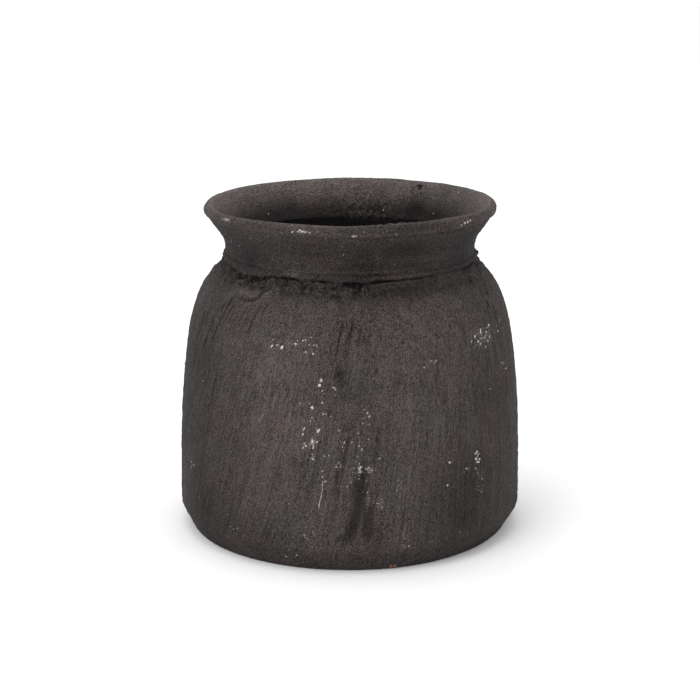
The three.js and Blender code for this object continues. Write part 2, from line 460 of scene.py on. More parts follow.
# Heavy brush strokes: angle in degrees and height where each starts, then its length and half
# width in millimetres and how dark it is
STROKES = [
    (-51.2, 146.5, 8, 1.3, 0.45), (-51.3, 146, 40, 0.6, 0.5), (-54, 144, 9, 1, 0.32),
    (-49, 144.5, 16, 0.6, 0.4), (-47.2, 142, 12, 0.6, 0.35), (-44.5, 140, 9, 0.6, 0.3),
    (-56, 143, 22, 0.6, 0.25), (-35.2, 148, 24, 0.7, 0.4), (-38.8, 146, 18, 0.6, 0.32),
    (-41.5, 145, 22, 0.6, 0.25), (-32.5, 147, 7, 0.8, 0.35), (-46, 140, 12, 0.6, 0.2),
    (-58, 132, 18, 0.7, 0.25), (-60, 124, 20, 0.6, 0.2), (-50.2, 108, 34, 0.55, 0.4),
    (-67, 112, 16, 0.6, 0.2), (-62, 140, 14, 0.7, 0.25), (-66, 136, 16, 0.7, 0.25),
    (-22, 144, 20, 0.6, 0.15), (1.4, 144.5, 26, 0.75, 0.5), (-2.3, 142.5, 26, 0.8, 0.45),
    (4.2, 140, 16, 0.9, 0.32), (-0.4, 137, 18, 0.6, 0.3), (7, 137, 14, 0.7, 0.22),
    (-10, 138, 16, 0.6, 0.15), (-0.2, 82, 30, 0.8, 0.38), (-3.2, 64, 22, 1, 0.3),
    (0.5, 82, 14, 0.6, 0.22), (18, 45, 38, 0.8, 0.22), (24, 46, 30, 0.7, 0.16),
    (21, 62, 22, 0.6, 0.16), (-24, 113, 40, 0.6, 0.2), (-28, 108, 26, 0.6, 0.18),
    (-8.7, 83, 52, 0.7, 0.22), (-17, 70, 30, 0.6, 0.2), (32, 136, 26, 0.6, 0.2),
    (37, 134, 22, 0.6, 0.2), (44, 138, 20, 0.7, 0.2), (70.5, 153, 4, 0.7, 0.9),
    (69, 149, 2.5, 0.7, 0.8), (66.8, 146, 3, 0.8, 0.9), (63.5, 141, 5, 0.7, 0.8),
    (61, 154, 3, 0.7, 0.6),
]
MORE_STROKES = 70

# Patches of the coat, and a few of painted shade and highlight, marked below: angle in degrees,
# height and half sizes in millimetres, then how much lighter (or darker) and how much redder (or
# greyer) the coat is in the middle
PATCHES = [
    (-24, 112, 22, 30, 0.2, 0), (-20, 126, 10, 9, 0.14, 0), (-32, 17, 22, 9, -0.14, 0),
    # Painted shade: the third patch below darkens the left flank
    (-58, 50, 20, 34, -0.15, -0.1), (-36, 32, 16, 18, -0.1, 0), (-61, 108, 20, 26, -0.2, -0.1),
    (-73, 24, 10, 14, 0.14, 0), (64, 14, 9, 8, 0.14, 0), (-73, 140, 9, 6, 0.12, 0),
    (-48, 150, 14, 5, 0.16, 0), (29, 30, 12, 20, -0.14, 0), (49, 94, 13, 16, -0.18, 0),
    (17, 96, 8, 18, 0.1, 0), (30, 52, 10, 16, -0.12, 0), (-40, 60, 8, 30, -0.1, 0),
    # Painted shadow: the first patch below darkens the shoulder under the collar in front
    (28, 153, 30, 5, -0.12, 0), (2, 151, 8, 5, 0.12, 0), (-27, 99, 12, 8, 0.1, 0),
    (-26, 70, 18, 26, 0.1, 0.1), (-17, 74, 15, 20, 0.16, 0.1), (-74, 80, 26, 60, -0.08, -0.5),
    (-50, 22, 24, 14, -0.14, -0.3), (25, 122, 16, 24, 0.1, 0.35), (22, 80, 14, 30, 0.12, 0),
    (7, 66, 5, 44, -0.12, 0), (-55, 34, 13, 16, -0.12, 0), (-9, 44, 5, 11, 0.12, 0),
    (43, 42, 18, 25, -0.4, -0.6), (40, 24, 12, 14, -0.14, -0.2), (66, 92, 12, 24, -0.12, 0.1),
    (-1, 140, 7, 10, -0.14, 0), (-2.5, 113, 4.5, 3, -0.35, 0), (-1, 101, 3, 5, -0.25, 0),
    (-6, 91.5, 2.5, 2, -0.35, 0), (-29, 87, 1.2, 1.1, 0.9, 0.6), (-30.4, 84.4, 1, 1.4, 0.65, 0.2),
    (-32.5, 80.5, 1.1, 1.8, 0.45, 0), (-5.5, 10, 1, 4, 0.2, 0), (-3.8, 5, 2, 1, 0.2, 0),
    (-1.6, 9, 0.8, 3.5, 0.18, 0), (-44, 11.7, 2.4, 0.8, 0.3, 0), (-42, 9, 1.8, 0.9, 0.3, 0),
    (-40, 6.5, 1.4, 0.9, 0.25, 0), (12, 112, 10, 26, 0.08, 0), (16, 40, 8, 26, 0.1, 0),
    (-18, 25, 16, 12, 0.05, 0.1), (-50, 170, 16, 6, -0.12, -0.8), (58, 171, 18, 10, -0.1, -0.8),
    (8, 167, 16, 12, -0.24, 0.4), (30, 174, 22, 11, -0.12, 0), (12, 172, 3, 4, 0.25, 0.3),
    # Painted highlight: the first two patches below light the bead at the foot of the collar
    (-25, 162.2, 9, 1.7, 0.55, 0), (26, 161.4, 20, 1.3, 0.32, 0), (-50, 165, 9, 5, -0.14, -0.4),
    (25, 177, 20, 6, -0.15, 0), (30, 166, 16, 7, -0.1, 0), (-20, 168, 12, 6, 0.1, 0),
]
INSIDE_PATCHES = [
    # Painted shade: the first patch below darkens the dent inside the collar
    (145, 178.5, 10, 5.5, -0.5, -0.4), (122, 182, 5, 6, -0.15, -0.2),
    (-149, 180, 7, 5, -0.24, -0.2), (-156, 185, 18, 7, 0.26, 0), (131, 184, 9, 10, -0.28, 0),
    (-106, 186, 14, 6, 0.5, 0.2), (-125, 188, 12, 4, 0.15, 0.1),
]
# Rubbed places where pale dust shows through the coat in specks: how far each is across the
# front, its height and its half sizes in millimetres, and how strong it is
RUBS = [
    (-41, 126, 4, 3, 0.25), (-24, 129, 8, 4, 0.25), (-21, 91, 1.2, 7, 0.35),
    (-20.5, 75, 1.8, 3.5, 0.7), (-20.5, 67, 1.2, 2.5, 0.5), (-17.5, 82, 1.5, 3, 0.6),
    (-24.5, 73, 2, 3, 0.5), (-6, 63, 2.5, 4, 0.35), (-4, 74, 1.5, 6, 0.3), (0, 97, 1, 6, 0.25),
    (5.3, 60.5, 1.5, 4, 0.75), (10.5, 60.5, 2.4, 2.2, 0.65), (9, 86, 3, 8, 0.22),
    (4, 75, 3, 6, 0.22), (10, 43, 0.9, 6, 0.55), (16.5, 41, 3.5, 4, 0.45), (30, 18, 3.5, 5, 0.3),
    (74, 124, 7, 6, 0.42), (84, 127, 4, 3, 0.25), (87.5, 104, 3, 5, 0.3), (46, 116, 4, 2.5, 0.2),
    (73, 48, 2.5, 9, 0.22), (-91, 45, 4, 5, 0.2), (-68.5, 189.3, 4, 1, 0.6),
    (-25, 187.9, 5, 0.9, 0.8), (2.5, 186, 3, 1.1, 0.5), (64, 188, 4.5, 1.1, 0.45),
    (18, 188, 9, 2.5, 0.15), (-66, 184, 14, 6, 0.12), (-35, 8, 4, 1.6, 0.3),
]


def near(angle, height, turn, middle, half_width, half_height):
    """1 in the middle of a patch, fading to nothing outside it. The patch is given by its angle
    in degrees, and its height and half sizes in millimetres."""
    across = turn_from(angle, math.radians(turn)) * BODY_RADIUS
    return bump_mm(across, 0, half_width) * bump_mm(height, middle, half_height)


def facing(angle, turn, half_turn):
    """1 where `angle` is `turn` degrees, fading to nothing away from it."""
    return bump(turn_from(angle, math.radians(turn)), 0, math.radians(half_turn))


def spots(angle, height, table):
    """The sum of soft patches: each row is a patch, as `near` takes it, and its strength."""
    return sum(strength * near(angle, height, *patch) for *patch, strength in table)


def more_strokes():
    """Heavy strokes of the same kind, but fainter, round the sides and back."""
    random = np.random.default_rng(3)
    strokes = []
    for _ in range(MORE_STROKES):
        turn = random.uniform(62, 298)
        start = random.choice([random.uniform(132, 149), random.uniform(40, 130)])
        length, half_width = random.uniform(16, 46), random.uniform(0.5, 1.0)
        strokes.append((turn, start, length, half_width, random.uniform(0.08, 0.3)))
    return strokes


ALL_STROKES = STROKES + more_strokes()


def stroke_marks(angle, height):
    """How deep and dark the heavy brush strokes are at each point."""
    here = stroke_angle(angle, height)
    marks = np.zeros_like(angle)
    for turn, start, length, half_width, strength in ALL_STROKES:
        line = stroke_angle(np.array(math.radians(turn)), np.array(start * MM))
        across = turn_from(here, line) * BODY_RADIUS
        down = (start * MM - height) / (length * MM)
        ends = fade(down, 0, 0.2) * fade(down, 1, 0.45)
        marks += strength * bump_mm(across, 0, half_width) * ends
    return marks


def groove(angle, height):
    """The ragged groove under the collar: 1 mm deep wherever this is 1."""
    at = position(angle, NECK_RADIUS, height)
    torn = along_turn(angle, CRUMBLY)
    line = along_turn(angle, GROOVE_HEIGHT) * MM + waves(at, 0.15 + 0.45 * torn, 3.2, 55)
    depth = along_turn(angle, GROOVE_DEPTH) + (0.4 + 0.5 * torn) * noise(at, 2.2 * MM, 57)
    return np.clip(depth, 0, None) * bump(height, line, along_turn(angle, GROOVE_WIDTH) * MM)


def crumble(angle, height):
    """Where torn, squeezed-out clay lies under the collar: positive on lumps, negative in the
    hollows between them, both up to about 1."""
    at = position(angle, NECK_RADIUS, height)
    line = along_turn(angle, GROOVE_HEIGHT) * MM
    band = fade(height, line + 0.8 * MM, line - 1.0 * MM) * fade_mm(height, 149, 155)
    lumpy = 0.8 * noise(at, 2.0 * MM, 44) + 0.9 * noise(at, 1.1 * MM, 45)
    return along_turn(angle, CRUMBLY) * band * lumpy


def relief(angle, radius, height, inside):
    """How far the clay stands out from the plain outline at each point."""
    at = position(angle, radius, height)
    streaks = stroke_space(angle, radius, height, STREAK_SQUASH)
    dashes = stroke_space(angle, radius, height, DASH_SQUASH)
    outside = 1 - inside
    body = outside * fade_mm(height, 4, 14) * fade_mm(height, 160, 152)
    collar = outside * fade_mm(height, 160, 165) * fade_mm(height, 188, 183)
    lip = fade_mm(height, 183, 187)
    collar_inside = inside * fade_mm(height, 166, 172) * fade_mm(height, 189, 184)
    cavity = inside * fade_mm(height, 160, 150)

    total = waves(at, 0.3, 46, 11, 2)
    total += body * (
        waves(streaks, 0.09, 3, 21, 2) + waves(dashes, 0.1, 1.6, 24) + waves(at, 0.22, 1.9, 31)
        + waves(at, 0.16, 8, 34, 2) - 0.45 * MM * stroke_marks(angle, height)
    )
    total += outside * joint_relief(angle, height, at)
    total += outside * MM * spots(angle, height, SLIP_EDGE)
    total += collar * (
        0.16 * MM * throwing_lines(angle, height)
        + waves(at, 0.13, 1.7, 64) + waves(at, 0.16, 9, 65, 2)
    )
    # The lip is torn a little to the right of the front, and stands on a step
    torn = facing(angle, 17, 8)
    total += lip * (
        waves(at, 0.2, 12, 71, 2) + waves(at, 0.12 + 0.6 * torn, 1.5, 73) + 0.45 * MM * torn)
    step = LIP_STEP + waves(at, 0.5, 14, 75)
    total += (0.4 + 0.6 * fade(angle, -0.3, 0.1)) * outside * MM * (
        0.35 * bump(height, step + 2 * MM, 0.9 * MM) - 0.45 * bump(height, step, MM))
    total += collar_inside * (
        waves(at, 0.45 * (0.2 + pimples(angle, height)), PIMPLE_SIZE, PIMPLE_SEED)
        + waves(at, 0.22, 16, 84, 2) - MM * near(angle, height, 146, 179, 10, 5)
    )
    total -= 1.3 * MM * inside * rim_hole(angle, height)
    total += outside * scar(angle, height) * waves(at, 0.3, SCAR_PIT_SIZE, SCAR_SEED)
    finger_marks = waves(at * [0.12, 0.12, 1], 0.5, 7, 91)
    total += cavity * (finger_marks + waves(at, 0.25, 6, 93, 2))
    # Small knocks in the edge of the foot
    knocks = fade(noise(at, 3.2 * MM, 99), 0.1, 0.8)
    total -= outside * 0.5 * MM * bump_mm(height, 1, 1.6) * knocks
    # Under the foot the clay is rough and stands a little clear of the plane it stands on
    under = outside * fade_mm(height, 0.6, 0)
    lifted = -0.22 * MM * (1 + rough_noise(at, 7 * MM, 97, 2)) * fade_mm(radius, 88, 80)
    return total * fade_mm(np.where(inside > 0, 1, height), -0.5, 2) + under * lifted


def throwing_lines(angle, height):
    """Fine lines round the foot of the collar, where it was wiped while it was turned."""
    wiped = 0.3 + 0.7 * facing(angle, 26, 22)
    lines = noise(position(angle, NECK_RADIUS, height) * [0.02, 0.02, 1], 1.15 * MM, 62)
    return wiped * lines * fade_mm(height, 160, 162) * fade_mm(height, 174, 167)


def rim_hole(angle, height):
    """A small three-cornered hole inside the lip: 1 in the hole, 0 outside it."""
    wide = near(angle, height, 146.6, 188.5, 2.6, 0.8)
    narrow = near(angle, height, 146.6, 187.6, 1.3, 1.2)
    return fade(np.maximum(wide, narrow), 0.3, 0.6)


def scar(angle, height):
    """Where the pitted, blackened scar in the middle of the body is."""
    return near(angle, height, -3.5, 111, 6, 8)


def pimples(angle, height):
    """How pimpled the inside of the collar is: most at the back, smooth elsewhere."""
    return facing(angle, 171, 17) * fade_mm(height, 163, 169) * fade_mm(height, 186, 180)


def joint_relief(angle, height, at):
    """The bead at the foot of the collar, the groove under it and the squeezed-out clay."""
    torn = along_turn(angle, CRUMBLY)
    total = 0.6 * MM * bump_mm(height, 162, 1.5) * (0.7 + 0.5 * noise(at, 20 * MM, 53))
    total += MM * (1.1 * crumble(angle, height) - groove(angle, height))
    total += bump_mm(height, 150, 6) * (waves(at, 0.22, 3, 41, 3) + waves(at, 0.2, 8, 43))
    return total + bump_mm(height, 160, 1.6) * waves(at, 0.4 * torn, 2.6, 51, 3)


def foot_cut(angle, radius, height):
    """How far in the foot is cut, from the crease down."""
    depth = along_turn(angle, FOOT_CUT) * MM
    return depth * fade(height, CREASE_HEIGHT * 0.95, 0) * radius / FOOT_RADIUS


# Where the bristles left sharp lines: angle in degrees, height and half sizes in
# millimetres, and how sharp they are over and above the rest of the body
BRISTLY = [
    (-50, 138, 24, 14, 0.5), (-1, 134, 12, 14, 0.5), (-4, 60, 12, 22, 0.3), (-26, 90, 18, 30, 0.3),
    (-48, 80, 22, 40, 0.15), (40, 92, 26, 44, 0.28), (26, 36, 16, 20, -0.1),
    (40, 134, 18, 14, 0.3), (110, 132, 30, 18, 0.8), (160, 70, 26, 40, 0.5),
    (205, 136, 22, 16, 0.9), (250, 90, 26, 40, 0.5),
]


def bristles(angle, height):
    """How sharply the bristle lines show at each point of the body."""
    return (0.36 + spots(angle, height, BRISTLY)) * fade_mm(height, 156, 150)


SMEAR_ANGLE = math.radians(3.8)
SMEAR_TOP = 66 * MM
SMEAR_LENGTH = 46 * MM


def smear(angle, height):
    """How much darker the coat is where a loaded brush ran down to the foot: one wide stroke
    that swings to the left as it goes down, with another beside its lower half."""
    drop = (SMEAR_TOP - height) / SMEAR_LENGTH
    across = (angle - SMEAR_ANGLE) * BODY_RADIUS / MM
    wide = 1.8 + 2.2 * fade(drop, 0, 0.4)
    stroke = np.exp(-((across + 7.5 * drop * drop) / wide) ** 4)
    beside = np.exp(-((across - 3) / 3.5) ** 4)
    stroke = stroke * fade(drop, -0.06, 0.14) * fade(drop, 1.12, 0.9)
    beside = beside * fade(drop, 0.35, 0.65) * fade(drop, 1.1, 0.88)
    return 0.6 * np.maximum(stroke, 0.8 * beside)


# Where the coat is grainier or smoother than elsewhere: angle in degrees, height and half
# sizes in millimetres, and how much grainier
GRAINY = [
    (-50, 168, 22, 10, -0.35), (52, 168, 22, 10, -0.4), (2, 168, 18, 10, 0.25),
    (43, 42, 16, 22, -0.3), (0, 15, 70, 18, 0.35), (-50, 120, 30, 24, 0.15),
    (28, 95, 16, 40, -0.14), (-48, 75, 16, 30, 0.1),
]


def graininess(angle, height, inside):
    """How strong the fine grain of the coat is at each point."""
    outside = 1 - inside
    total = 1 - 0.2 * fade_mm(height, 183, 187) - 0.2 * inside
    total += outside * (spots(angle, height, GRAINY) - 0.6 * smear(angle, height))
    return total + 0.3 * inside * pimples(angle, height)


def painted(angle, height, inside):
    """How much lighter and redder the coat is at each point, and how rubbed. The lightness
    also holds painted shade and painted highlight.
    """
    outside = 1 - inside
    lighter, redder, rubbed = np.zeros((3, *angle.shape))
    for patches, side in ((PATCHES, outside), (INSIDE_PATCHES, inside)):
        for *patch, light, red in patches:
            here = side * near(angle, height, *patch)
            lighter += light * here
            redder += red * here
    for across, middle, half_width, half_height, strength in RUBS:
        turn = front_angle(across, middle)
        wide = half_width / max(math.cos(turn), 0.35)
        here = near(angle, height, math.degrees(turn), middle, wide, half_height)
        rubbed += strength * outside * here

    at = position(angle, NECK_RADIUS, height)
    in_front = fade(np.cos(angle), 0.2, 0.7)
    # The heavy strokes and the smear, with a thin pale line beside it
    outer = -1.7 * stroke_marks(angle, height) - smear(angle, height)
    across = (angle - SMEAR_ANGLE) * BODY_RADIUS
    outer += 0.45 * bump_mm(across, 2.8, 0.7) * bump_mm(height, 41, 6)
    # The flanks and the foot are painted darker, as painted shade. The groove is painted dark, as
    # painted shade, and the torn clay round it is painted darker in its hollows and lighter on its
    # lumps, as painted shade and highlight; slip that stands proud is painted paler, with darker
    # paint in the groove beside it, as painted highlight and shade; a band under the collar, most
    # in front, is painted shadow
    outer -= 0.2 * fade(np.abs(np.sin(angle)), 0.6, 0.95)
    outer -= 0.1 * fade_mm(height, 34, 20) + 0.17 * fade_mm(height, 16, 8)
    outer -= 0.52 * np.clip(groove(angle, height), 0, 1.6)
    outer += 0.55 * np.clip(crumble(angle, height), -1, 0.9)
    outer += 0.75 * spots(angle, height, SLIP_EDGE)
    outer -= (0.08 + 0.42 * np.cos(angle) ** 2) * bump_mm(height, 154, 5)
    outer -= 0.5 * scar(angle, height) * (0.5 + noise(at, SCAR_PIT_SIZE * MM, SCAR_SEED))
    # The collar is darker than the body; its throwing lines are painted lighter on their ridges
    # and darker between them, and in front the step under the lip is painted lighter above and
    # darker in it, all as painted highlight and shade
    outer -= 0.36 * fade_mm(height, 158, 161) * fade_mm(height, 189, 180)
    outer += 0.3 * throwing_lines(angle, height)
    outer += in_front * (0.35 + 0.65 * fade(angle, -0.15, 0.15)) * (
        0.18 * bump_mm(height, 186, 0.8) - 0.14 * bump(height, LIP_STEP, 0.9 * MM))
    lighter += outside * outer
    # The lip is painted lighter as painted highlight where light falls on its top, but less in
    # front; its top edge in front gets a painted highlight too
    lighter += along_turn(angle, LIP_PAINTED_LIGHT) * fade_mm(height, 185, 188)
    lighter += 0.22 * in_front * fade_mm(height, 189.8, 190.8)
    # Inside, the collar is painted lighter near the lip and darker towards the throat and below
    # it, most at the back, as painted highlight and painted shade; the pimples are painted lighter
    # where they catch the light; well below the throat that painted shade eases to an even
    # darkness. The hole in the lip is painted dark, as painted shade.
    back = fade(np.cos(angle), 0.1, -0.75)
    inner = 0.36 * fade_mm(height, 179, 187) - 0.36 * fade_mm(height, 172, 167)
    inner -= (0.18 + 0.52 * back) * fade_mm(height, 183, 173.5)
    inner += (0.25 + 0.52 * back) * fade_mm(height, 148, 134)
    pimpled = noise(at, PIMPLE_SIZE * MM, PIMPLE_SEED)
    inner += pimples(angle, height) * (0.1 + 0.5 * pimpled) - 1.1 * rim_hole(angle, height)
    return lighter + inside * inner, redder, rubbed


# --- Clay rings ---

# The hidden corner inside the wall where the slab, the wall and the floor coil meet
SLAB_INNER = np.array([BODY_RADIUS - WALL_THICKNESS, FLOOR_HEIGHT])

# Each piece: its material, its slot, and its section as the stretches of skin in order with
# the hidden corners that close it against its neighbours
PIECES = {
    "base_slab": ("brushed_coat", "coated_clay", ["underside", "foot", "floor"]),
    "lower_wall": (
        "brushed_coat", "coated_clay", ["lower_outside", "lower_inside", SLAB_INNER]),
    "shoulder_wall": ("brushed_coat", "coated_clay", [
        "shoulder_outside", "skirt_outside", COLLAR_FOOT_INNER, "shoulder_inside"]),
    "neck_collar": ("wiped_coat", "collar_clay", [
        "collar_outside", "collar_inside", COLLAR_FOOT_INNER, COLLAR_FOOT]),
    "rim_coil": ("wiped_coat", "collar_clay", ["lip_outside", "lip_inside"]),
    "neck_seam_outer": ("wiped_coat", "luting_clay", ["neck_coil", COLLAR_FOOT]),
    "neck_seam_inner": ("luting_clay", "luting_clay", ["throat_coil", COLLAR_FOOT_INNER]),
    "floor_seam_inner": ("luting_clay", "luting_clay", ["floor_coil", SLAB_INNER]),
}
# Strips of the bake layout: the gap between them, the most that a stretch is cut into, and
# how much of a square they aim to be, outside and inside
ATLAS_GAP = 0.004
MOST_CUTS = 8
OUTSIDE_SHARE = 0.6
INSIDE_SHARE = 0.3


def steps(section):
    """How far it is from each point of a closed section to the next."""
    ahead = np.roll(section[:, :2], -1, axis=0) - section[:, :2]
    return np.hypot(*ahead.T)


def section_of(parts):
    """A piece's closed section: its points, outward directions, side and stretch numbers."""
    rows = []
    for number, part in enumerate(parts):
        if isinstance(part, str):
            inside = float(part in INSIDE_STRETCHES)
            pairs = zip(SKIN.points[part], SKIN.normals[part])
            rows += [(*point, *normal, inside, number) for point, normal in pairs]
        else:
            rows.append((*part, 0, 0, 1, number))
    section = np.array(rows)
    return section[steps(section) > TOUCHING]


def clay_ring(name, parts, material, wiped):
    """Spins a section into a mesh with its relief, its painted patches and its bake layout.
    The marks on it run down the pot, or round it where it was wiped while it turned."""
    section = section_of(parts)
    turns = np.linspace(-math.pi, math.pi, COLUMNS, endpoint=False) + math.pi / COLUMNS
    angle = np.tile(turns, (len(section), 1))
    radius, height, out, up, inside, _ = np.tile(section.T[..., None], COLUMNS)
    points = shaped(angle, radius, height, inside, out, up)
    on_axis = radius[:, 0] < TOUCHING

    here = np.arange(angle.size).reshape(angle.shape)
    right, above = np.roll(here, -1, axis=1), np.roll(here, -1, axis=0)
    quads = np.stack([here, right, np.roll(above, -1, axis=1), above], axis=-1)
    if on_axis.any():
        points[on_axis] = points[on_axis].mean(axis=1, keepdims=True)
        quads = quads[:-1]
    mesh = bpy.data.meshes.new(name)
    fill_mesh(mesh, points.reshape(-1, 3), quads.reshape(-1, 4))

    lighter, redder, rubbed = painted(angle, height, inside)
    marks = {
        "lighter": lighter, "redder": redder, "rubbed": rubbed,
        "bristles": bristles(angle, height), "graininess": graininess(angle, height, inside),
    }
    for attribute, values in marks.items():
        add_attribute(mesh, attribute, values.ravel())
    for attribute, squash in (("streaks", STREAK_SQUASH), ("dashes", DASH_SQUASH)):
        if wiped:
            level = math.sqrt(squash)
            along = position(angle, radius, height) * [level, level, 1]
        else:
            along = stroke_space(angle, radius, height, squash)
        add_attribute(mesh, attribute, along.reshape(-1, 3))
    lay_out(mesh, section, quads)
    if on_axis.any():
        merge_doubles(mesh)
    # Smooth shading, with the hidden joint corners left sharp so that they don't show
    mesh.shade_smooth()
    mesh.set_sharp_from_angle(angle=SHARP_CORNER)
    return finish_piece(mesh, material)


def fill_mesh(mesh, points, faces):
    """Writes points and equal-sided faces into an empty mesh."""
    count, sides = faces.shape
    mesh.vertices.add(len(points))
    mesh.vertices.foreach_set("co", points.astype(np.float32).ravel())
    mesh.loops.add(count * sides)
    mesh.loops.foreach_set("vertex_index", faces.astype(np.int32).ravel())
    mesh.polygons.add(count)
    mesh.polygons.foreach_set("loop_start", np.arange(0, count * sides, sides, dtype=np.int32))
    mesh.update(calc_edges=True)


def add_attribute(mesh, name, values):
    kind = "FLOAT_VECTOR" if values.ndim == 2 else "FLOAT"
    layer = mesh.attributes.new(name, kind, "POINT")
    field = "vector" if kind == "FLOAT_VECTOR" else "value"
    layer.data.foreach_set(field, values.astype(np.float32).ravel())


def set_bake_layout(mesh, uv):
    layer = mesh.uv_layers.new(name="OFBake")
    layer.data.foreach_set("uv", uv.astype(np.float32).ravel())


def lay_out(mesh, section, quads):
    """Bake layout: each stretch of the section is cut round the pot into strips, and the
    strips are stacked, so that they stay about square in the atlas."""
    radius, _, out, up, inside, number = section.T
    shown = np.hypot(out, up) > 0
    length = steps(section)
    band = np.where(shown & np.roll(shown, -1), number, -1)[:len(quads)]
    strips = []
    for key in sorted(set(band)):
        member = np.flatnonzero(band == key)
        tall = length[member].sum()
        round_about = 2 * math.pi * radius[member].max()
        share = INSIDE_SHARE if inside[member[0]] else OUTSIDE_SHARE
        cuts = round(math.sqrt(share * round_about / max(tall, 0.1 * MM)))
        cuts = 1 if key < 0 else min(MOST_CUTS, max(1, cuts))
        strips += [(member, cut, cuts, tall * cuts / round_about) for cut in range(cuts)]
    total = sum(tall for *_, tall in strips)
    uv = np.zeros((len(quads), COLUMNS, 4, 2))
    base = 0
    for member, cut, cuts, tall in strips:
        size = tall / total
        first, last = cut * COLUMNS // cuts, (cut + 1) * COLUMNS // cuts
        across = ATLAS_GAP / 2 + np.linspace(0, 1, last - first + 1) * (1 - ATLAS_GAP)
        left, right = across[:-1], across[1:]
        climb = np.append(0, np.cumsum(length[member]))
        climb = base + ATLAS_GAP / 2 + climb / climb[-1] * max(size - ATLAS_GAP, size / 2)
        uv[member, first:last, :, 0] = np.column_stack([left, right, right, left])
        uv[member, first:last, :2, 1] = climb[:-1, None, None]
        uv[member, first:last, 2:, 1] = climb[1:, None, None]
        base += size
    set_bake_layout(mesh, uv)


def merge_doubles(mesh):
    work = bmesh.new()
    work.from_mesh(mesh)
    bmesh.ops.remove_doubles(work, verts=work.verts, dist=TOUCHING)
    work.to_mesh(mesh)
    work.free()


def finish_piece(mesh, material):
    mesh.materials.append(material)
    piece = bpy.data.objects.new(mesh.name, mesh)
    bpy.context.scene.collection.objects.link(piece)
    return piece


# --- Chips and crumbs ---

